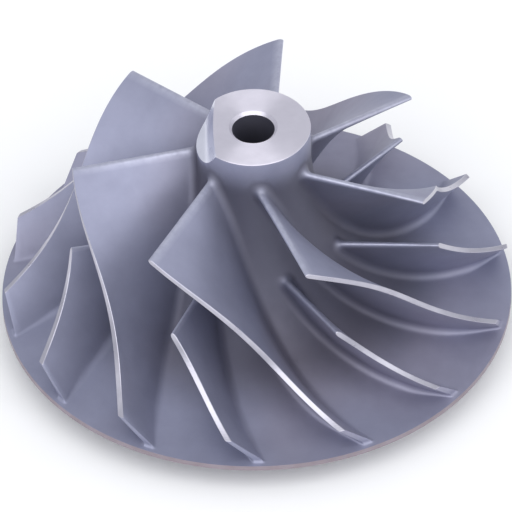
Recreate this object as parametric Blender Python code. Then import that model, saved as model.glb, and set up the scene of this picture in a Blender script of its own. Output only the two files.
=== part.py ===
"""Compressor wheel of a turbocharger: one aluminium casting with full and splitter blades.

Units are metres, +Z runs along the wheel's axis from the back boss to the nose.
The origin is the centre of the boss's face. The wheel turns clockwise seen from the nose.
"""
import bmesh
import bpy
import math
import numpy as np

MM = 0.001

# Main sizes, in millimetres. Heights are measured from the disc's front face at the rim.
WHEEL_R = 38.1          # half of the outlet diameter of 76.2
RIM_THICK = 0.9
BLADE_EXIT_R = 37.8     # the blades' tips stop just inside the rim
NOSE_R = 8.5
NOSE_TOP = 33.0
NOSE_EDGE = 0.12
BORE_R = 3.175
BORE_CHAMFER = 0.45

# Back of the wheel: a dished disc round a turned boss.
BOSS_R = 9.6
BOSS_FACE = -5.0
BOSS_EDGE = 0.2
BOSS_ROOT = 0.45        # depth of the corner where the boss leaves the back face
BOSS_ROOT_FLAT = 0.2
BACK_CURVE = ((33.0, -0.9), (24.0, -0.9), (18.0, -3.6), (10.5, -4.3))

# Balance cut: a scoop milled into one side of the nose, with a steep, slightly bowed wall.
CUT_CURVE = ((-5.94, 33.0), (-6.5, 31.3), (-6.62, 29.95), (-8.6, 29.4))     # section, as (x, height)
CUT_BOW = 0.37          # how much further in the wall's ends stand at the nose face
CUT_HALF = 6.3          # distance from the middle of the wall to its ends
CUT_BOW_FOOT = 30.6     # height at which the wall runs straight
CUT_REACH = (-12.0, 9.5, 34.5)      # the cutter runs past the nose on all open sides

# Meridional curves of the hub and of the blade tips, as Bezier points (radius, height).
HUB_CURVE = ((8.5, 28.1), (8.5, 16.9), (15.8, 0.0), (38.1, 0.0))
TIP_CURVE = ((26.95, 26.65), (26.95, 20.05), (25.7, 10.25), (37.8, 4.65))
SLOPE_STEP = 0.01       # step of the curve parameter over which a slope is taken

# Blade angles, in degrees. A wrap law is start, end, bulge and skew of the bulge.
BLADES = 7
FIRST_BLADE = 131.2
TIP_WRAP = (0.0, 54.6, 25.6, 11.3)
HUB_WRAP = (-12.7, 62.4, 43.9, 19.7)
SPLIT_TIP = 0.52        # where on the tip curve a splitter starts
SPLIT_HUB = 0.40        # and where on the hub curve
HUB_END = 0.985         # where on the hub curve all blades end

# Blade sections.
TIP_THICK = 0.8
ROOT_THICK = 1.25
SHOULDER = 0.7          # the leading edge is a wedge that reaches this share of the thickness
LEAN_STEP = 0.05        # share of the span over which the blade's lean is taken

# Root fillet.
FILLET = 1.3
FLANK_START = 0.1       # below this height the fillet runs on into the hub as a straight flank
FLANK_SLOPE = 1.2
SHRINK_START = 0.8      # from here on the hub curve the fillet gets smaller
END_SHRINK = 0.6        # and has lost this share of its size at the trailing edge

# Rows of points on a blade: heights above the hub, then shares of the span.
FOOT_ROWS = (-0.4, 0.12, 0.45, 1.3)
SPAN_ROWS = (0.55, 1.0)
MAIN_STATIONS = 13
SPLIT_STATIONS = 9
CROWDING = 1.15         # gathers the stations towards the leading edge

TURN_STEPS = 60
CUT_STEPS = 12
SCOOP_STEPS = 8
HUB_STEPS = 13
BACK_STEPS = 6
SHARP_ANGLE = 30.0


def bezier(points, t):
    """Point of a cubic Bezier curve in (radius, height)."""
    p = np.array(points)
    u = 1.0 - t
    return u ** 3 * p[0] + 3 * u * u * t * p[1] + 3 * u * t * t * p[2] + t ** 3 * p[3]


def wrap(law, t):
    """Wrap angle in radians along a blade edge."""
    start, end, bulge, skew = law
    turn = start + (end - start) * t + bulge * t * (1 - t) + skew * t * (1 - t) * (1 - 2 * t)
    return math.radians(turn)


def on_curve(curve, law, t):
    """Point in space where a blade meets the hub or the shroud line."""
    r, z = bezier(curve, t)
    a = wrap(law, t)
    return np.array((r * math.cos(a), r * math.sin(a), z))


def hub_normal(t):
    """Outward direction of the hub surface, as (radius, height)."""
    d = bezier(HUB_CURVE, min(t + SLOPE_STEP, 1.0)) - bezier(HUB_CURVE, max(t - SLOPE_STEP, 0.0))
    return unit(np.array((-d[1], d[0])))


def unit(v):
    return v / np.linalg.norm(v)


def turned(p, angle):
    """Point turned about the wheel's axis."""
    c, s = math.cos(angle), math.sin(angle)
    return np.array((c * p[0] - s * p[1], s * p[0] + c * p[1], p[2]))


def end_shrink(hub_t):
    """How much of the root fillet is left near the trailing edge."""
    x = (hub_t - SHRINK_START) / (HUB_END - SHRINK_START)
    x = min(max(x, 0.0), 1.0)
    return 1 - END_SHRINK * x * x * (3 - 2 * x)


def foot_flare(height):
    """Extra half thickness of the root fillet at a height above the hub."""
    if height >= FILLET:
        return 0.0
    if height < FLANK_START:
        return foot_flare(FLANK_START) + (FLANK_START - height) * FLANK_SLOPE
    return FILLET - math.sqrt(FILLET ** 2 - (FILLET - height) ** 2)


def blade_point(hub_t, tip_t, share):
    """Middle point of the blade at a share of its span."""
    foot = on_curve(HUB_CURVE, HUB_WRAP, hub_t)
    top = on_curve(TIP_CURVE, TIP_WRAP, tip_t)
    p = foot + (top - foot) * share
    shrink = min(1.0, BLADE_EXIT_R / math.hypot(p[0], p[1]))
    return p * np.array((shrink, shrink, 1.0))


def share_at(hub_t, tip_t, height):
    """Share of the span that lies a given height above the hub surface."""
    foot = on_curve(HUB_CURVE, HUB_WRAP, hub_t)
    top = on_curve(TIP_CURVE, TIP_WRAP, tip_t)
    a = math.atan2(foot[1], foot[0])
    n = hub_normal(hub_t)
    return height / ((top - foot) @ np.array((n[0] * math.cos(a), n[0] * math.sin(a), n[1])))


def blade_loop(stations, middle, low, halves):
    """Closed loop of points round the blade, starting at the leading edge.

    The loop follows the middle points, with a half thickness at each one.
    The blade's lean is taken from the share of the span called low upwards.
    """
    last = len(middle) - 1
    left, right = [], []
    for i, p in enumerate(middle):
        stream = unit(middle[min(i + 1, last)] - middle[max(i - 1, 0)])
        lean = blade_point(*stations[i], low + LEAN_STEP) - blade_point(*stations[i], low)
        normal = unit(np.cross(stream, lean))
        r = math.hypot(p[0], p[1])
        around = np.array((-p[1], p[0], 0.0)) / r
        angle = halves[i] / (r * abs(around @ normal))
        left.append((p, angle))
        right.append((p, -angle))
    stream = unit(middle[1] - middle[0])
    p, angle = left[0]
    shoulder = p - stream * halves[0] * SHOULDER
    loop = [p - stream * halves[0], turned(shoulder, angle * SHOULDER)]
    loop += [turned(q, a) for q, a in left]
    loop += [turned(q, a) for q, a in reversed(right)]
    loop.append(turned(shoulder, -angle * SHOULDER))
    return loop


def foot_loop(stations, height):
    """Loop round the root fillet at a height above the hub."""
    middle = [blade_point(h, t, share_at(h, t, height)) for h, t in stations]
    halves = [ROOT_THICK / 2 + foot_flare(height) * end_shrink(h) for h, _ in stations]
    return blade_loop(stations, middle, 0.0, halves)


def span_loop(stations, share):
    """Loop round the blade at a share of its span."""
    middle = [blade_point(h, t, share) for h, t in stations]
    half = (ROOT_THICK + (TIP_THICK - ROOT_THICK) * share) / 2
    return blade_loop(stations, middle, share - LEAN_STEP, [half] * len(stations))


def add_blade(bm, stations, angle):
    """Add one closed blade with its flared foot to the mesh."""
    loops = [foot_loop(stations, height) for height in FOOT_ROWS]
    loops += [span_loop(stations, share) for share in SPAN_ROWS]
    rings = [[bm.verts.new(turned(p, angle) * MM) for p in loop] for loop in loops]
    count = len(rings[0])
    for low, high in zip(rings, rings[1:]):
        for i in range(count):
            j = (i + 1) % count
            bm.faces.new((low[j], low[i], high[i], high[j]))
    for ring, flip in ((rings[0], False), (rings[-1], True)):
        edge = [ring[0], ring[1], ring[-1]]
        bm.faces.new(edge[::-1] if flip else edge)
        for i in range(1, count // 2):
            quad = [ring[i], ring[i + 1], ring[count - i - 1], ring[count - i]]
            bm.faces.new(quad[::-1] if flip else quad)


def blade_stations(hub_start, tip_start, count):
    """Pairs of parameters on the hub and tip curves, closer together near the leading edge."""
    share = [(i / (count - 1)) ** CROWDING for i in range(count)]
    return [(hub_start + (HUB_END - hub_start) * s, tip_start + (1 - tip_start) * s) for s in share]


def blade_mesh():
    """All full and splitter blades in one mesh of separate closed bodies."""
    bm = bmesh.new()
    full = blade_stations(0.0, 0.0, MAIN_STATIONS)
    split = blade_stations(SPLIT_HUB, SPLIT_TIP, SPLIT_STATIONS)
    pitch = math.tau / BLADES
    for i in range(BLADES):
        angle = math.radians(FIRST_BLADE) - i * pitch
        add_blade(bm, full, angle)
        add_blade(bm, split, angle + pitch / 2)
    bmesh.ops.recalc_face_normals(bm, faces=bm.faces)
    mesh = bpy.data.meshes.new("blades")
    bm.to_mesh(mesh)
    bm.free()
    return mesh


def hub_profile():
    """Closed half section of the hub, disc, nose and bore, as (radius, height)."""
    back_r, back_z = BACK_CURVE[-1]
    points = [(BORE_R, NOSE_TOP - BORE_CHAMFER), (BORE_R + BORE_CHAMFER, NOSE_TOP)]
    points += [(NOSE_R - NOSE_EDGE, NOSE_TOP), (NOSE_R, NOSE_TOP - NOSE_EDGE)]
    points += [tuple(bezier(HUB_CURVE, i / HUB_STEPS)) for i in range(HUB_STEPS)]
    points += [(WHEEL_R, 0.0), (WHEEL_R, -RIM_THICK)]
    points += [tuple(bezier(BACK_CURVE, i / BACK_STEPS)) for i in range(BACK_STEPS + 1)]
    points.append((BOSS_R + (back_r - BOSS_R) / 4, back_z - BOSS_ROOT_FLAT))
    points += [(BOSS_R, back_z - BOSS_ROOT), (BOSS_R, BOSS_FACE + BOSS_EDGE)]
    points += [(BOSS_R - BOSS_EDGE, BOSS_FACE), (BORE_R + BORE_CHAMFER, BOSS_FACE)]
    points.append((BORE_R, BOSS_FACE + BORE_CHAMFER))
    return points


def bowed(x, z, y):
    """Place of the cut's wall at a height, a distance y from its middle."""
    return x + CUT_BOW * (y / CUT_HALF) ** 2 * max(z - CUT_BOW_FOOT, 0.0) / (NOSE_TOP - CUT_BOW_FOOT)


def cut_section(y):
    """Closed outline of the cutter at a distance from the middle of the wall, as (x, z)."""
    far, _, high = CUT_REACH
    (x, z), (x2, z2) = CUT_CURVE[:2]
    points = [(bowed(x + (x - x2) / (z - z2) * (high - z), high, y), high)]
    for i in range(SCOOP_STEPS + 1):
        x, z = bezier(CUT_CURVE, i / SCOOP_STEPS)
        points.append((bowed(x, z, y), z))
    return points + [(far, CUT_CURVE[-1][1]), (far, high)]


def cutter_mesh():
    """Cutter of the balance cut: its outline swept along the wall."""
    bm = bmesh.new()
    rings = []
    for i in range(CUT_STEPS + 1):
        y = CUT_REACH[1] * (2 * i / CUT_STEPS - 1)
        rings.append([bm.verts.new((x * MM, y * MM, z * MM)) for x, z in cut_section(y)])
    count = len(rings[0])
    for near, away in zip(rings, rings[1:]):
        for i in range(count):
            j = (i + 1) % count
            bm.faces.new((near[i], near[j], away[j], away[i]))
    bm.faces.new(rings[0][::-1])
    bm.faces.new(rings[-1])
    bmesh.ops.recalc_face_normals(bm, faces=bm.faces)
    mesh = bpy.data.meshes.new("balance_cut")
    bm.to_mesh(mesh)
    bm.free()
    return mesh


def add_object(name, mesh):
    obj = bpy.data.objects.new(name, mesh)
    bpy.context.scene.collection.objects.link(obj)
    return obj


def add_helper(name, mesh):
    """Object that only shapes the wheel: wire in the viewport and not rendered."""
    obj = add_object(name, mesh)
    obj.hide_render = True
    obj.display_type = "WIRE"
    return obj


def combine(obj, name, operation, other):
    boolean = obj.modifiers.new(name, "BOOLEAN")
    boolean.operation = operation
    boolean.solver = "EXACT"
    boolean.object = other


def aluminium():
    mat = bpy.data.materials.new("cast_aluminium")
    mat.use_nodes = True
    shader = mat.node_tree.nodes["Principled BSDF"]
    shader.inputs["Base Color"].default_value = (0.46, 0.47, 0.53, 1.0)
    shader.inputs["Metallic"].default_value = 1.0
    shader.inputs["Roughness"].default_value = 0.5
    return mat


for old in list(bpy.data.objects):
    bpy.data.objects.remove(old, do_unlink=True)

# The turned body: one closed half section swept round the axis.
profile = bpy.data.meshes.new("turned_body")
section = [(r * MM, 0.0, z * MM) for r, z in hub_profile()]
profile.from_pydata(section, [(i, (i + 1) % len(section)) for i in range(len(section))], [])
body = add_helper("turned_body", profile)
screw = body.modifiers.new("turn", "SCREW")
screw.axis = "Z"
screw.angle = math.tau
screw.steps = TURN_STEPS
screw.render_steps = TURN_STEPS
screw.use_merge_vertices = True
screw.merge_threshold = 0.000001

# The blades join the hub in one body, then the balance cut is milled out of the nose.
blades = add_helper("blades", blade_mesh())
cutter = add_helper("balance_cut", cutter_mesh())
combine(body, "join_blades", "UNION", blades)
combine(body, "balance_cut", "DIFFERENCE", cutter)

# The finished casting is one mesh, lifted so that it stands on the boss's face.
bpy.context.view_layer.update()
finished = body.evaluated_get(bpy.context.evaluated_depsgraph_get())
casting = bpy.data.meshes.new_from_object(finished)
casting.name = "compressor_wheel"
casting.materials.clear()
casting.materials.append(aluminium())
casting.shade_smooth()
casting.set_sharp_from_angle(angle=math.radians(SHARP_ANGLE))
wheel = add_object("compressor_wheel", casting)
wheel.location.z = -BOSS_FACE * MM
for helper in (body, blades, cutter):
    bpy.data.objects.remove(helper, do_unlink=True)
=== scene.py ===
"""Compressor wheel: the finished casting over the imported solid, in millimetres turned to metres.

The skin follows the same curves as the solid and adds what the solid leaves plain: rounded
leading edges, finer root fillets, bevelled tips and every finish.
"""
import bmesh
import bpy
import math
import numpy as np
from mathutils import Matrix, Vector, geometry


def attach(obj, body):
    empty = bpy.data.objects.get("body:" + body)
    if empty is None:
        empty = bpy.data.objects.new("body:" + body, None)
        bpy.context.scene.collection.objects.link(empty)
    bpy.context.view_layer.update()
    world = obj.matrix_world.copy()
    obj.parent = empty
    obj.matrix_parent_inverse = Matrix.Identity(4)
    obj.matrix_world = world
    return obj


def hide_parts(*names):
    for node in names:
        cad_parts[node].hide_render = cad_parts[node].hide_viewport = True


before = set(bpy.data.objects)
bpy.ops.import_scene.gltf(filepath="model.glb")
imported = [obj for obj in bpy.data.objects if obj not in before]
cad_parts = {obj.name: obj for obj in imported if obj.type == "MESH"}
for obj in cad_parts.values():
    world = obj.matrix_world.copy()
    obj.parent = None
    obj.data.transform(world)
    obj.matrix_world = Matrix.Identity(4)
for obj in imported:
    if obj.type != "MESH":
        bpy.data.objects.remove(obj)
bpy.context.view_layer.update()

MM = 0.001

# Wheel sizes in millimetres, heights from the disc's front face at the rim.
WHEEL_R = 38.1
RIM_THICK = 0.9
BLADE_FOOT_R = 37.1
NOSE_R = 8.5
NOSE_TOP = 33.0
NOSE_EDGE = 0.12
BORE_R = 3.175
BORE_CHAMFER = 0.45
BOSS_R = 9.6
BOSS_FACE = -5.0
BOSS_BEVEL = 0.2
BOSS_ROUND = 0.45        # width of the round at the foot of the boss
BOSS_RISE = 0.3          # its height
BOSS_STEP = 0.02         # how far below the back's edge it starts
BACK_STEP = -4.3
BACK_CURVE = ((33.0, -RIM_THICK), (24.0, -RIM_THICK), (18.0, -3.6), (BOSS_R + 0.9, BACK_STEP))
RIM_BEVEL = 0.06
# Balance cut: its section at the middle, and how its wall bows inward towards the ends.
CUT_CURVE = ((-5.94, 33.0), (-6.5, 31.3), (-6.62, 29.95), (-8.6, 29.4))
CUT_BOW = 0.37
CUT_HALF = 6.3
CUT_BOW_FOOT = 30.6

HUB_CURVE = ((8.5, 28.1), (8.5, 16.9), (15.8, 0.0), (38.1, 0.0))
TIP_CURVE = ((26.95, 26.65), (26.95, 20.05), (25.7, 10.25), (37.8, 4.65))

BLADES = 7
FIRST_BLADE = 131.2
TIP_WRAP = (0.0, 54.6, 25.6, 11.3)
HUB_WRAP = (-12.7, 62.4, 43.9, 19.7)
SPLIT_TIP = 0.52
SPLIT_HUB = 0.40

TIP_THICK = 0.8
ROOT_THICK = 1.2
NOSE_LENGTH = 0.8
FILLET_REACH = 1.3
FILLET_LIMITS = (0.75, 1.9)
FILLET_SHARE = 0.45      # most of a blade's height that the fillet may take
TIP_BEVEL = 0.06
EDGE_ROUND = 0.12        # corners of the trailing edge
CORNER_PULL = 0.25       # how far a corner's own point moves in, as a share of that
END_SHRINK = 0.6         # how much smaller the fillet is at the trailing edge
SHRINK_START = 0.8       # share of the blade's length where it begins to shrink
LEAN_BLEND = (0.15, 0.6)     # over this share the thickness turns from square to round the axis

# Where the finish changes: worn metal with a painted highlight at the blades' noses, and painted
# shade that darkens the metal deep in the passages.
WEAR_HIGHLIGHT_END = 0.02
WEAR_HIGHLIGHT_FADE = (0.9, 0.5)
PAINTED_SHADE_RISE = (0.35, 0.95)
DEPTH_HEIGHTS = (NOSE_TOP, 26.5)
DEPTH_RADII = (31.0, 20.0)

# How fine the skin is.
CURVE_POINTS = 1501
LAW_POINTS = 900
CUT_POINTS = 121
CUT_COLUMNS = 20
CUT_TRIES = 30           # rounds that settle the place of a row's end
CUT_GAPS = (0.05, 0.02)  # least distance of a row from the nose's edge and from the last row
EDGE_TURNS = 4
EDGE_STEPS = 80
BACK_ROWS = 12
BOSS_ROWS = 6
NOSE_STATIONS = 6
MAIN_STATIONS = 54
SPLIT_STATIONS = 36
FILLET_ROWS = 8
SIDE_ROWS = 12
END_COLUMNS = 4
RIM_STEPS = 168
BORE_STEPS = 56
HUB_CELL = 0.8
WELD = 1e-6              # metres
SHARP_ANGLE = 24.0       # degrees

# Numbers of the finishes, in the order in which the wheel gets its materials.
CAST = 0
TURNED = 1
LAND = 2
RIM = 3
MILLED = 4


def bezier(points, t):
    """Points of a cubic Bezier curve."""
    p = np.array(points)
    u = 1.0 - t
    return u ** 3 * p[0] + 3 * u * u * t * p[1] + 3 * u * t * t * p[2] + t ** 3 * p[3]


class Surface:
    """A surface of revolution, addressed by length along its section and angle."""

    def __init__(self, curve, lead=0.0):
        t = np.linspace(0.0, 1.0, CURVE_POINTS)[:, None]
        line = bezier(curve, t)
        step = np.linalg.norm(np.diff(line, axis=0), axis=1)
        self.t = t[:, 0]
        self.s = np.concatenate(([0.0], np.cumsum(step)))
        if lead:
            line = np.vstack((line[0] + (0.0, lead), line))
            self.t = np.concatenate(([-1.0], self.t))
            self.s = np.concatenate(([-lead], self.s))
        self.r = line[:, 0]
        self.z = line[:, 1]
        slope = np.gradient(line, self.s, axis=0)
        self.slope = slope / np.linalg.norm(slope, axis=1)[:, None]

    def length_at(self, t):
        return float(np.interp(t, self.t, self.s))

    def radius(self, s):
        return float(np.interp(s, self.s, self.r))

    def at(self, s, angle):
        """Point of the surface."""
        r = np.interp(s, self.s, self.r)
        z = np.interp(s, self.s, self.z)
        return np.array((r * math.cos(angle), r * math.sin(angle), z))

    def axes(self, s, angle):
        """Unit vectors along the section, round the axis and out of the surface."""
        dr = np.interp(s, self.s, self.slope[:, 0])
        dz = np.interp(s, self.s, self.slope[:, 1])
        along = np.array((dr * math.cos(angle), dr * math.sin(angle), dz))
        around = np.array((-math.sin(angle), math.cos(angle), 0.0))
        out = np.cross(around, along)
        if out[2] < 0 or (abs(out[2]) < 1e-9 and out[0] * math.cos(angle) < 0):
            out = -out
        return along / np.linalg.norm(along), around, out / np.linalg.norm(out)


HUB = Surface(HUB_CURVE, lead=NOSE_TOP - HUB_CURVE[0][1])
TIP = Surface(TIP_CURVE, lead=2.0)


def wrap(law, t):
    """Wrap angle in radians along a blade edge."""
    start, end, bulge, skew = law
    return math.radians(start + (end - start) * t + t * (1 - t) * (bulge + skew * (1 - 2 * t)))


def unit(v):
    return v / np.linalg.norm(v)


def smooth_step(low, high, x):
    """Smooth rise from 0 to 1 as x goes from low to high, which may be the smaller one."""
    x = min(max((x - low) / (high - low), 0.0), 1.0)
    return x * x * (3 - 2 * x)


def depth_of(point):
    """How deep in the passages a place on the hub lies, from 0 at nose and rim to 1 between; this
    weights the painted shade.
    """
    radius = math.hypot(point[0], point[1])
    return smooth_step(*DEPTH_HEIGHTS, point[2]) * smooth_step(*DEPTH_RADII, radius)


class Skin:
    """Points and faces of the wheel's surface, each face with its finish."""

    def __init__(self):
        self.points = []
        self.wear_and_highlight = []
        self.recess = []
        self.faces = []
        self.finish = []

    def add(self, point, wear_and_highlight=0.0, recess=0.0):
        self.points.append(tuple(point))
        self.wear_and_highlight.append(wear_and_highlight)
        self.recess.append(recess)
        return len(self.points) - 1

    def face(self, corners, finish):
        self.faces.append(tuple(corners))
        self.finish.append(finish)

    def strip(self, low, high, finish, closed=False):
        """Faces between two rows of points."""
        last = len(low) if closed else len(low) - 1
        for i in range(last):
            j = (i + 1) % len(low)
            self.face((low[i], low[j], high[j], high[i]), finish)

    def ring(self, radius, height, steps, recess=0.0):
        angles = [math.tau * i / steps for i in range(steps)]
        points = [(radius * math.cos(a), radius * math.sin(a), height) for a in angles]
        return [self.add(p, recess=recess) for p in points]


def inside(loop, points):
    """Which of the points lie inside a closed loop in the plane."""
    loop = np.array(loop)
    after = np.roll(loop, -1, axis=0)
    hit = np.zeros(len(points), bool)
    for (x1, y1), (x2, y2) in zip(loop, after):
        if y1 == y2:
            continue
        cross = (y1 > points[:, 1]) != (y2 > points[:, 1])
        x = x1 + (points[:, 1] - y1) * (x2 - x1) / (y2 - y1)
        hit ^= cross & (points[:, 0] < x)
    return hit


def fill(skin, flat, loops, finish, lift=None):
    """Fill the space between the first loop and the others, given as lists of point numbers."""
    used = sorted(flat)
    place = {number: i for i, number in enumerate(used)}
    edges = []
    for loop in loops:
        edges += [(place[a], place[b]) for a, b in zip(loop, loop[1:] + loop[:1])]
    coords = [Vector(flat[number]) for number in used]
    found, _, faces, source, _, _ = geometry.delaunay_2d_cdt(coords, edges, [], 0, 1e-7)
    ids = []
    for i, p in enumerate(found):
        ids.append(used[source[i][0]] if source[i] else skin.add(lift(p)))
    found = np.array([p[:] for p in found])
    middle = np.array([found[list(f)].mean(axis=0) for f in faces])
    keep = inside([flat[n] for n in loops[0]], middle)
    for loop in loops[1:]:
        keep &= ~inside([flat[n] for n in loop], middle)
    for f, wanted in zip(faces, keep):
        if wanted:
            skin.face([ids[i] for i in f], finish)


class Outline:
    """The closed edge of a blade's section where it meets a surface of revolution.

    It runs from the trailing edge up one side, round the nose, down the other side and
    across the trailing edge. Moves on the surface are pairs: along its section, round the axis.
    """

    def __init__(self, surface, law, start, end, thick, stations):
        self.surface = surface
        t = np.linspace(start, end, LAW_POINTS)
        s = np.array([surface.length_at(x) for x in t])
        r = np.array([surface.radius(x) for x in s])
        angle = np.array([wrap(law, x) for x in t])
        flow = np.stack((np.gradient(s), r * np.gradient(angle)), axis=1)
        run = np.linalg.norm(flow, axis=1)
        flow /= run[:, None]
        length = np.concatenate(([0.0], np.cumsum(0.5 * (run[1:] + run[:-1]))))
        first = np.interp(NOSE_LENGTH, length, t)
        marks = []
        for j in range(NOSE_STATIONS):
            turn = 0.5 * math.pi * j / NOSE_STATIONS
            x = np.interp(NOSE_LENGTH * (1 - math.cos(turn)), length, t)
            lean = unit(np.array((-math.cos(turn) * 0.5 * thick, math.sin(turn) * NOSE_LENGTH)))
            marks.append((x, 0.5 * thick * math.sin(turn), lean))
        for x in np.linspace(first, end, stations):
            marks.append((x, 0.5 * thick, np.array((0.0, 1.0))))
        sides = {}
        for side in (1, -1):
            sides[side] = []
            for x, half, lean in marks:
                here = [float(np.interp(x, t, v)) for v in (s, angle, r)]
                along = flow[int(np.searchsorted(t, x).clip(0, len(t) - 1))]
                across = np.array((-along[1], along[0])) * side
                around = np.array((0.0, side / along[0]))
                blend = smooth_step(*LEAN_BLEND, (x - start) / (end - start))
                move = half * ((1 - blend) * across + blend * around)
                square = lean[0] * along + lean[1] * across
                used = (1 - blend) * square + blend * around
                sides[side].append((here[0] + move[0], here[1] + move[1] / here[2], square, used))
        self.close(sides, flow[-1], r[-1])

    def close(self, sides, flow, r):
        """Join the two sides across the trailing edge, with rounded corners."""
        back = np.array((1.0, 0.0))
        shift = {1: np.array((0.0, -EDGE_ROUND)), -1: np.array((0.0, EDGE_ROUND))}
        ends = {}
        corners = {}
        for side in (1, -1):
            s, angle, square, used = sides[side][-1]
            pull = shift[side] * CORNER_PULL - flow * EDGE_ROUND * CORNER_PULL
            diagonal = unit(square + back)
            corners[side] = (s + pull[0], angle + pull[1] / r, diagonal, diagonal)
            ends[side] = np.array((s, angle + shift[side][1] / r))
            move = -flow * EDGE_ROUND
            sides[side][-1] = (s + move[0], angle + move[1] / r, square, used)
        self.marks = sides[1][::-1] + sides[-1][1:] + [corners[-1]]
        self.tail = len(self.marks)
        for c in range(END_COLUMNS + 1):
            s, angle = ends[-1] + (ends[1] - ends[-1]) * c / END_COLUMNS
            self.marks.append((s, angle, back, back))
        self.marks.append(corners[1])

    def spot(self, i, extra=0.0):
        """Length and angle of an edge point, moved outward by extra."""
        s, angle, _, used = self.marks[i]
        s = s + extra * used[0]
        return s, angle + extra * used[1] / self.surface.radius(s)

    def share(self, i):
        """How far along the blade a mark is, from the nose to the trailing edge."""
        first = min(m[0] for m in self.marks)
        last = max(m[0] for m in self.marks)
        return (self.marks[i][0] - first) / (last - first)


def fillet_column(foot, tip, i):
    """Points down one line of the blade: crest, side and root fillet to its toe on the hub."""
    s, angle = foot.spot(i)
    base = HUB.at(s, angle)
    top = TIP.at(*tip.spot(i))
    reach = np.linalg.norm(top - base)
    rise = (top - base) / reach
    along, around, out = HUB.axes(s, angle)
    _, _, square, used = foot.marks[i]
    away = square[0] * along + square[1] * around
    edge = np.cross(out, away)
    climb = rise - (rise @ edge) * edge
    steep = np.linalg.norm(climb)
    opening = math.acos(max(-1.0, min(1.0, float(climb @ away) / steep)))
    least, most = FILLET_LIMITS
    size = min(max(FILLET_REACH / math.sqrt(math.tan(opening / 2)), least), most)
    size *= 1 - END_SHRINK * smooth_step(SHRINK_START, 1.0, foot.share(i))
    up = min(size / steep, FILLET_SHARE * reach)
    turn = math.pi - opening
    pull = 4 / 3 * math.tan(turn / 4) / math.tan(turn / 2)
    toe_s, toe_angle = foot.spot(i, size)
    toe = HUB.at(toe_s, toe_angle)
    toe_along, toe_around, _ = HUB.axes(toe_s, toe_angle)
    toe_away = used[0] * toe_along + used[1] * toe_around
    start = base + rise * up
    crest = top - rise * TIP_BEVEL
    column = [crest + (start - crest) * k / SIDE_ROWS for k in range(SIDE_ROWS + 1)]
    bend = (start, start - rise * up * pull, toe - toe_away * size * pull, toe)
    column += [bezier(bend, k / FILLET_ROWS) for k in range(1, FILLET_ROWS)]
    return column + [toe]


def turned(p, angle):
    """Point turned about the wheel's axis."""
    c = math.cos(angle)
    s = math.sin(angle)
    return np.array((c * p[0] - s * p[1], s * p[0] + c * p[1], p[2]))


def add_blade(skin, start_hub, start_tip, stations, phase):
    """One blade with its fillets. Returns the loop of toe points on the hub."""
    end_hub = float(np.interp(BLADE_FOOT_R, HUB.r[1:], HUB.t[1:]))
    foot = Outline(HUB, HUB_WRAP, start_hub, end_hub, ROOT_THICK, stations)
    tip = Outline(TIP, TIP_WRAP, start_tip, 1.0, TIP_THICK, stations)
    count = len(foot.marks)
    columns = []
    flat = {}
    for i in range(count):
        s, angle = tip.spot(i, -TIP_BEVEL)
        land = skin.add(turned(TIP.at(s, angle), phase))
        flat[land] = (s, angle * NOSE_R * 3)
        # Worn metal and a painted highlight on the leading edge, fading down towards the root.
        wear_and_highlight = 1 - smooth_step(0.0, WEAR_HIGHLIGHT_END, foot.share(i))
        depth = depth_of(HUB.at(*foot.spot(i)))
        side = []
        for k, p in enumerate(fillet_column(foot, tip, i)):
            low = k / (SIDE_ROWS + FILLET_ROWS)
            # Painted shade: the colour darkens low on the blade's sides, deep in the passages.
            passage_shade = depth * smooth_step(*PAINTED_SHADE_RISE, low)
            side.append(skin.add(turned(p, phase), wear_and_highlight * smooth_step(*WEAR_HIGHLIGHT_FADE, low), passage_shade))
        columns.append([land] + side)
    for i in range(count):
        here, there = columns[i], columns[(i + 1) % count]
        skin.strip(here[:2], there[:2], LAND)
        skin.strip(here[1:], there[1:], CAST)
    fill(skin, flat, [[c[0] for c in columns]], LAND)
    return [c[-1] for c in columns]


def flat_place(point):
    """Hub point on a plane: its angle is kept, its length along the section is the radius."""
    r = math.hypot(point[0], point[1])
    z = point[2]
    if z > HUB_CURVE[0][1]:
        s = HUB_CURVE[0][1] - z
    else:
        s = float(np.interp(-z + r, -HUB.z[1:] + HUB.r[1:], HUB.s[1:]))
    a = math.atan2(point[1], point[0])
    return (NOSE_R + s) * math.cos(a), (NOSE_R + s) * math.sin(a)


def from_flat(place):
    """Hub point that belongs to a place on that plane."""
    s = math.hypot(place[0], place[1]) - NOSE_R
    return HUB.at(s, math.atan2(place[1], place[0]))


def cut_rows():
    """Rows of the balance cut from the nose face down its wall and out over its floor.

    Each row is its height, its place at the middle and how far its ends lean inward.
    """
    line = bezier(CUT_CURVE, np.linspace(0.0, 1.0, CUT_POINTS)[:, None])
    last = float(np.interp(NOSE_R, -line[:, 0], line[:, 1]))
    heights = [NOSE_TOP, NOSE_TOP - NOSE_EDGE]
    upper = heights[-1] - CUT_GAPS[0]
    lower = last + CUT_GAPS[1]
    heights += [z for _, z in line[6:-1:5] if lower < z < upper]
    rows = []
    for z in heights:
        x = float(np.interp(-z, -line[:, 1], line[:, 0]))
        rows.append((z, x, CUT_BOW * max(z - CUT_BOW_FOOT, 0.0) / (NOSE_TOP - CUT_BOW_FOOT)))
    return rows + [(last, -NOSE_R, 0.0)]


def cut_end(x, bow, radius):
    """Half length of a row of the cut, out to the nose's side."""
    y = 0.0
    for _ in range(CUT_TRIES):
        y = math.sqrt(max(radius ** 2 - (x + bow * (y / CUT_HALF) ** 2) ** 2, 0.0))
    return y


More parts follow.
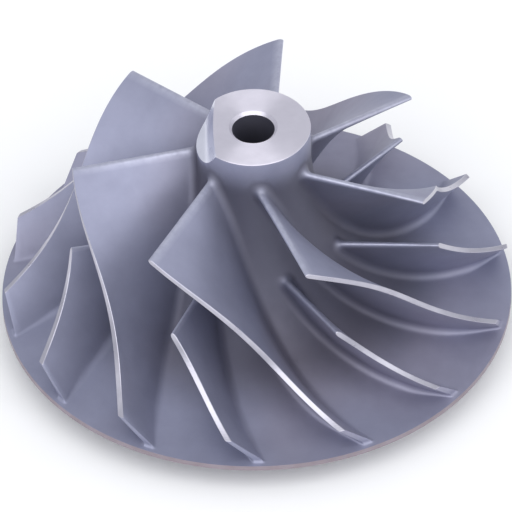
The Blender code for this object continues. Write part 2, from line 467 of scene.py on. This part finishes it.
def add_nose(skin):
    """Nose face, its rounded edge, the balance cut and the bore's mouth."""
    sheet = []
    for i, (z, x, bow) in enumerate(cut_rows()):
        end = cut_end(x, bow, NOSE_R - NOSE_EDGE if i == 0 else NOSE_R)
        row = [end * (1 - 2 * c / CUT_COLUMNS) for c in range(CUT_COLUMNS + 1)]
        sheet.append([skin.add((x + bow * (y / CUT_HALF) ** 2, y, z)) for y in row])
    for low, high in zip(sheet, sheet[1:]):
        skin.strip(low, high, MILLED)
    rings = []
    for turn in range(EDGE_TURNS + 1):
        a = math.pi / (2 * EDGE_TURNS) * turn
        r = NOSE_R - NOSE_EDGE * (1 - math.cos(a))
        z = NOSE_TOP - NOSE_EDGE * (1 - math.sin(a))
        first, last = (skin.points[sheet[1][k]] for k in (-1, 0))
        if turn == EDGE_TURNS:
            first, last = (skin.points[sheet[0][k]] for k in (-1, 0))
        start = math.atan2(first[1], first[0])
        sweep = math.atan2(last[1], last[0]) - start
        angles = [start + sweep * i / EDGE_STEPS for i in range(1, EDGE_STEPS)]
        rings.append([skin.add((r * math.cos(a), r * math.sin(a), z)) for a in angles])
    for low, high in zip(rings, rings[1:]):
        skin.strip(low, high, TURNED)
    for end, side in ((-1, 0), (0, -1)):
        fan = [ring[side] for ring in rings]
        for low, high in zip(fan, fan[1:]):
            skin.face((sheet[1][end], low, high), TURNED)
        skin.face((sheet[1][end], fan[-1], sheet[0][end]), TURNED)
    rings[0] = [sheet[1][-1]] + rings[0] + [sheet[1][0]]
    rings[-1] = [sheet[0][-1]] + rings[-1] + [sheet[0][0]]
    mouth = skin.ring(BORE_R + BORE_CHAMFER, NOSE_TOP, BORE_STEPS)
    face = rings[-1] + sheet[0][1:-1]
    flat = {n: skin.points[n][:2] for n in face + mouth}
    fill(skin, flat, [face, mouth], TURNED)
    near = [row[0] for row in sheet[2:-1]]
    far = [row[-1] for row in sheet[-2:1:-1]]
    return rings[0] + near + [sheet[-1][0]] + far, mouth


def add_back(skin, rim, mouth):
    """Rim, back face, boss and bore."""
    back = Surface(BACK_CURVE)
    profile = [(WHEEL_R, RIM_BEVEL - RIM_THICK), (WHEEL_R - RIM_BEVEL, -RIM_THICK)]
    for i in range(BACK_ROWS + 1):
        s = back.s[-1] * i / BACK_ROWS
        profile.append((float(np.interp(s, back.s, back.r)), float(np.interp(s, back.s, back.z))))
    for i in range(1, BOSS_ROWS + 1):
        a = 0.5 * math.pi * i / BOSS_ROWS
        r = BOSS_R + BOSS_ROUND - BOSS_ROUND * math.sin(a)
        profile.append((r, BACK_STEP - BOSS_STEP - BOSS_RISE * (1 - math.cos(a))))
    profile += [(BOSS_R, BOSS_FACE + BOSS_BEVEL), (BOSS_R - BOSS_BEVEL, BOSS_FACE)]
    row = rim
    for i, (r, z) in enumerate(profile):
        new = skin.ring(r, z, RIM_STEPS)
        skin.strip(row, new, LAND if i else RIM, closed=True)
        row = new
    foot = skin.ring(BORE_R + BORE_CHAMFER, BOSS_FACE, BORE_STEPS)
    flat = {n: skin.points[n][:2] for n in row + foot}
    fill(skin, flat, [row, foot], TURNED)
    # The bore's wall takes the full painted shade.
    upper = skin.ring(BORE_R, NOSE_TOP - BORE_CHAMFER, BORE_STEPS, recess=1.0)
    lower = skin.ring(BORE_R, BOSS_FACE + BORE_CHAMFER, BORE_STEPS, recess=1.0)
    for a, b, finish in ((mouth, upper, TURNED), (upper, lower, CAST), (lower, foot, TURNED)):
        skin.strip(a, b, finish, closed=True)


def add_hub_sheet(skin, edge, toes, rim):
    """The hub between the blades, from the nose's edge to the rim."""
    flat = {}
    for n in edge + rim:
        flat[n] = flat_place(skin.points[n])
    for loop in toes:
        for n in loop:
            flat[n] = flat_place(skin.points[n])
    bounds = np.array(list(flat.values()))
    holes = [[flat[n] for n in loop] for loop in toes]
    nose = [flat[n] for n in edge]
    spots = []
    rows = int((HUB.s[-1] - HUB.s[0]) / (HUB_CELL * 0.87))
    for i in range(1, rows):
        s = HUB.s[0] + (HUB.s[-1] - HUB.s[0]) * i / rows
        count = max(60, int(math.tau * HUB.radius(s) / HUB_CELL))
        for j in range(count):
            a = math.tau * (j + 0.5 * (i % 2)) / count
            spots.append(((NOSE_R + s) * math.cos(a), (NOSE_R + s) * math.sin(a)))
    spots = np.array(spots)
    keep = ~inside(nose, spots)
    for hole in holes:
        keep &= ~inside(hole, spots)
    spots = spots[keep]
    near = np.array([np.min(np.hypot(*(bounds - p).T)) for p in spots])
    for p in spots[near > 0.5 * HUB_CELL]:
        # Hub points deep in the passages take painted shade.
        place = from_flat(p)
        flat[skin.add(place, recess=depth_of(place))] = tuple(p)
    fill(skin, flat, [rim, edge] + toes, CAST, lift=from_flat)


def wheel_mesh():
    """The whole skin as one closed mesh, in metres, standing on its boss."""
    skin = Skin()
    toes = []
    pitch = math.tau / BLADES
    for k in range(BLADES):
        phase = math.radians(FIRST_BLADE) - k * pitch
        toes.append(add_blade(skin, 0.0, 0.0, MAIN_STATIONS, phase))
        toes.append(add_blade(skin, SPLIT_HUB, SPLIT_TIP, SPLIT_STATIONS, phase + pitch / 2))
    edge, mouth = add_nose(skin)
    rim = skin.ring(WHEEL_R, 0.0, RIM_STEPS)
    add_hub_sheet(skin, edge, toes, rim)
    add_back(skin, rim, mouth)
    mesh = bpy.data.meshes.new("wheel_skin")
    places = [(x * MM, y * MM, (z - BOSS_FACE) * MM) for x, y, z in skin.points]
    mesh.from_pydata(places, [], skin.faces)
    mesh.polygons.foreach_set("material_index", skin.finish)
    # Point weights for the painted highlight and the painted shade.
    for name, values in (("wear_and_highlight", skin.wear_and_highlight), ("recess", skin.recess)):
        mesh.attributes.new(name, "FLOAT", "POINT").data.foreach_set("value", values)
    bm = bmesh.new()
    bm.from_mesh(mesh)
    bmesh.ops.remove_doubles(bm, verts=bm.verts, dist=WELD)
    bmesh.ops.recalc_face_normals(bm, faces=bm.faces)
    bm.to_mesh(mesh)
    bm.free()
    mesh.shade_smooth()
    mesh.set_sharp_from_angle(angle=math.radians(SHARP_ANGLE))
    return mesh


def noise(tree, position, scale, detail, rough=0.5):
    node = tree.nodes.new("ShaderNodeTexNoise")
    node.inputs["Scale"].default_value = scale
    node.inputs["Detail"].default_value = detail
    node.inputs["Roughness"].default_value = rough
    tree.links.new(position, node.inputs["Vector"])
    return node.outputs["Fac"]


def ramp(tree, value, stops):
    node = tree.nodes.new("ShaderNodeValToRGB")
    elements = node.color_ramp.elements
    while len(elements) < len(stops):
        elements.new(0.5)
    for element, (place, colour) in zip(elements, stops):
        element.position = place
        element.color = (*colour, 1.0)
    tree.links.new(value, node.inputs["Fac"])
    return node.outputs["Color"]


def math_node(tree, kind, first, second=None):
    node = tree.nodes.new("ShaderNodeMath")
    node.operation = kind
    for socket, value in zip(node.inputs, (first, second)):
        if value is None:
            continue
        if isinstance(value, (int, float)):
            socket.default_value = value
        else:
            tree.links.new(value, socket)
    return node.outputs["Value"]


def new_metal(name):
    mat = bpy.data.materials.new(name)
    mat.use_nodes = True
    tree = mat.node_tree
    shader = tree.nodes["Principled BSDF"]
    shader.inputs["Metallic"].default_value = 1.0
    place = tree.nodes.new("ShaderNodeTexCoord").outputs["Object"]
    return mat, tree, shader, place


def bump(tree, shader, height, distance, strength=1.0):
    node = tree.nodes.new("ShaderNodeBump")
    node.inputs["Distance"].default_value = distance
    node.inputs["Strength"].default_value = strength
    tree.links.new(height, node.inputs["Height"])
    tree.links.new(node.outputs["Normal"], shader.inputs["Normal"])


def mix(tree, share, first, second):
    """Colour that goes from the first to the second as the share rises."""
    node = tree.nodes.new("ShaderNodeMix")
    node.data_type = "RGBA"
    tree.links.new(share, node.inputs["Factor"])
    for socket, value in ((node.inputs["A"], first), (node.inputs["B"], second)):
        if isinstance(value, tuple):
            socket.default_value = (*value, 1.0)
        else:
            tree.links.new(value, socket)
    return node.outputs["Result"]


def attribute(tree, name):
    node = tree.nodes.new("ShaderNodeAttribute")
    node.attribute_name = name
    return node.outputs["Fac"]


# Colours of the casting, each pair the ends of its mottle.
CAST_COOL = ((0.30, 0.31, 0.415), (0.34, 0.35, 0.465))
CAST_WARM = ((0.32, 0.30, 0.38), (0.36, 0.34, 0.425))
# Painted shade colour for the passages and the bore, and the lighter worn colour that paints a
# highlight on the leading edges.
PAINTED_SHADE_COLOUR = (0.05, 0.045, 0.06)
PAINTED_SHADE_SHARE = 0.72
WORN_HIGHLIGHT_COLOUR = (0.56, 0.57, 0.68)

# Machined finishes, in the order of their numbers: name, dull and bright colour, least
# roughness, and how far the tool marks stretch the highlight.
MACHINED = (
    ("turned_bright", (0.79, 0.76, 0.85), (0.84, 0.81, 0.90), 0.38, 0.93),
    ("turned_lands", (0.46, 0.45, 0.52), (0.53, 0.52, 0.59), 0.24, 0.0),
    ("turned_rim", (0.33, 0.28, 0.31), (0.38, 0.33, 0.37), 0.45, 0.0),
    ("milled_step", (0.72, 0.73, 0.83), (0.77, 0.78, 0.88), 0.24, 0.0),
)
TOOL_MARK_PITCH = 0.00018    # metres


def cast_finish():
    """Fine blasted casting: satin, faintly mottled, worn and painted brighter as a highlight on the
    leading edges, and darkened by painted shade deep in the passages and in the bore.
    """
    mat, tree, shader, place = new_metal("cast_satin")
    shader.inputs["Metallic"].default_value = 0.7
    mottle = noise(tree, place, 160.0, 4.0, 0.6)
    cool = ramp(tree, mottle, [(0.3, CAST_COOL[0]), (0.7, CAST_COOL[1])])
    warm = ramp(tree, mottle, [(0.3, CAST_WARM[0]), (0.7, CAST_WARM[1])])
    patches = noise(tree, place, 28.0, 2.0)
    cloud = ramp(tree, patches, [(0.5, (0.0, 0.0, 0.0)), (0.75, (1.0, 1.0, 1.0))])
    colour = mix(tree, cloud, cool, warm)
    # Painted shade: darkens the colour where the mesh's shade weight is high.
    passage_shade = math_node(tree, "MULTIPLY", attribute(tree, "recess"), PAINTED_SHADE_SHARE)
    colour = mix(tree, passage_shade, colour, PAINTED_SHADE_COLOUR)
    # Worn metal and a painted highlight: lighter colour on the leading edges.
    scuffs = noise(tree, place, 900.0, 3.0, 0.6)
    worn_highlight = math_node(tree, "MULTIPLY", attribute(tree, "wear_and_highlight"), scuffs)
    colour = mix(tree, worn_highlight, colour, WORN_HIGHLIGHT_COLOUR)
    tree.links.new(colour, shader.inputs["Base Color"])
    rough = math_node(tree, "MULTIPLY_ADD", noise(tree, place, 420.0, 3.0), 0.14)
    rough.node.inputs[2].default_value = 0.5
    rough = math_node(tree, "SUBTRACT", rough, math_node(tree, "MULTIPLY", worn_highlight, 0.3))
    tree.links.new(rough, shader.inputs["Roughness"])
    grain = noise(tree, place, 5200.0, 2.0, 0.7)
    bump(tree, shader, grain, 0.00003, 0.35)
    return mat


def turned_finish(name, dull, bright, rough_low, brushed):
    """Machined metal with fine concentric tool marks."""
    mat, tree, shader, place = new_metal(name)
    split = tree.nodes.new("ShaderNodeSeparateXYZ")
    tree.links.new(place, split.inputs["Vector"])
    x2 = math_node(tree, "MULTIPLY", split.outputs["X"], split.outputs["X"])
    y2 = math_node(tree, "MULTIPLY", split.outputs["Y"], split.outputs["Y"])
    radius = math_node(tree, "SQRT", math_node(tree, "ADD", x2, y2))
    path = math_node(tree, "ADD", radius, split.outputs["Z"])
    marks = math_node(tree, "SINE", math_node(tree, "MULTIPLY", path, math.tau / TOOL_MARK_PITCH))
    smear = noise(tree, place, 500.0, 3.0)
    tree.links.new(ramp(tree, smear, [(0.3, dull), (0.7, bright)]), shader.inputs["Base Color"])
    rough = math_node(tree, "MULTIPLY_ADD", smear, 0.1)
    rough.node.inputs[2].default_value = rough_low
    tree.links.new(rough, shader.inputs["Roughness"])
    bump(tree, shader, marks, 0.000003, 0.5)
    shader.inputs["Anisotropic"].default_value = brushed
    shader.inputs["Anisotropic Rotation"].default_value = 0.25
    tangent = tree.nodes.new("ShaderNodeTangent")
    tangent.direction_type = "RADIAL"
    tangent.axis = "Z"
    tree.links.new(tangent.outputs["Tangent"], shader.inputs["Tangent"])
    return mat


def floor_finish():
    mat = bpy.data.materials.new("studio_floor")
    mat.use_nodes = True
    shader = mat.node_tree.nodes["Principled BSDF"]
    shader.inputs["Base Color"].default_value = (0.92, 0.92, 0.92, 1.0)
    shader.inputs["Roughness"].default_value = 0.8
    return mat


# The photograph's view: a long lens from the front, looking down on the nose.
VIEW_HEIGHT = 42.4
VIEW_ROLL = -1.21
VIEW_DISTANCE = 1711.8
VIEW_TARGET = 7.16 - BOSS_FACE
FOCAL_PIXELS = 11467.0
PHOTO_PIXELS = 512

# Studio, in metres.
LIGHT_TARGET = 0.015
FLOOR_HALF = 3.0
FLOOR_DROP = 0.0002      # keeps the floor just clear of the boss


def add_camera():
    rise, roll = math.radians(VIEW_HEIGHT), math.radians(VIEW_ROLL)
    back = Vector((0.0, -math.cos(rise), math.sin(rise)))
    right = Vector((1.0, 0.0, 0.0))
    up = back.cross(right)
    side = math.cos(roll) * right + math.sin(roll) * up
    top = math.cos(roll) * up - math.sin(roll) * right
    data = bpy.data.cameras.new("photo_camera")
    data.sensor_width = 36.0
    data.lens = FOCAL_PIXELS / PHOTO_PIXELS * data.sensor_width
    camera = bpy.data.objects.new("photo_camera", data)
    turn = Matrix((side, top, back)).transposed().to_4x4()
    spot = Vector((0.0, 0.0, VIEW_TARGET * MM)) + back * VIEW_DISTANCE * MM
    camera.matrix_world = Matrix.Translation(spot) @ turn
    bpy.context.scene.collection.objects.link(camera)
    bpy.context.scene.camera = camera


def add_light(name, place, size, power):
    """White lamp of a given width and height, aimed at the wheel."""
    data = bpy.data.lights.new(name, "AREA")
    data.shape = "RECTANGLE"
    data.size, data.size_y = size
    data.energy = power
    light = bpy.data.objects.new(name, data)
    light.location = place
    aim = Vector((0.0, 0.0, LIGHT_TARGET)) - Vector(place)
    light.rotation_euler = aim.to_track_quat("-Z", "Y").to_euler()
    bpy.context.scene.collection.objects.link(light)


def add_studio():
    bpy.context.scene.view_settings.view_transform = "Standard"
    world = bpy.data.worlds.new("studio")
    world.use_nodes = True
    sky = world.node_tree.nodes["Background"]
    sky.inputs["Color"].default_value = (0.93, 0.95, 1.0, 1.0)
    sky.inputs["Strength"].default_value = 0.77
    bpy.context.scene.world = world
    add_light("front_overhead", (0.1, -1.54, 1.97), (5.0, 3.0), 64.0)
    add_light("right", (1.9, -0.2, 0.8), (1.2, 1.0), 2.5)

    mesh = bpy.data.meshes.new("studio_floor")
    corners = [(x * FLOOR_HALF, y * FLOOR_HALF, 0) for x, y in ((-1, -1), (1, -1), (1, 1), (-1, 1))]
    mesh.from_pydata(corners, [], [(0, 1, 2, 3)])
    floor = bpy.data.objects.new("studio_floor", mesh)
    floor.location.z = -FLOOR_DROP
    mesh.materials.append(floor_finish())
    bpy.context.scene.collection.objects.link(floor)


wheel = bpy.data.objects.new("wheel_skin", wheel_mesh())
wheel.data.materials.append(cast_finish())
for choice in MACHINED:
    wheel.data.materials.append(turned_finish(*choice))
bpy.context.scene.collection.objects.link(wheel)
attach(wheel, "root")
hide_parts("compressor_wheel")

add_studio()
add_camera()
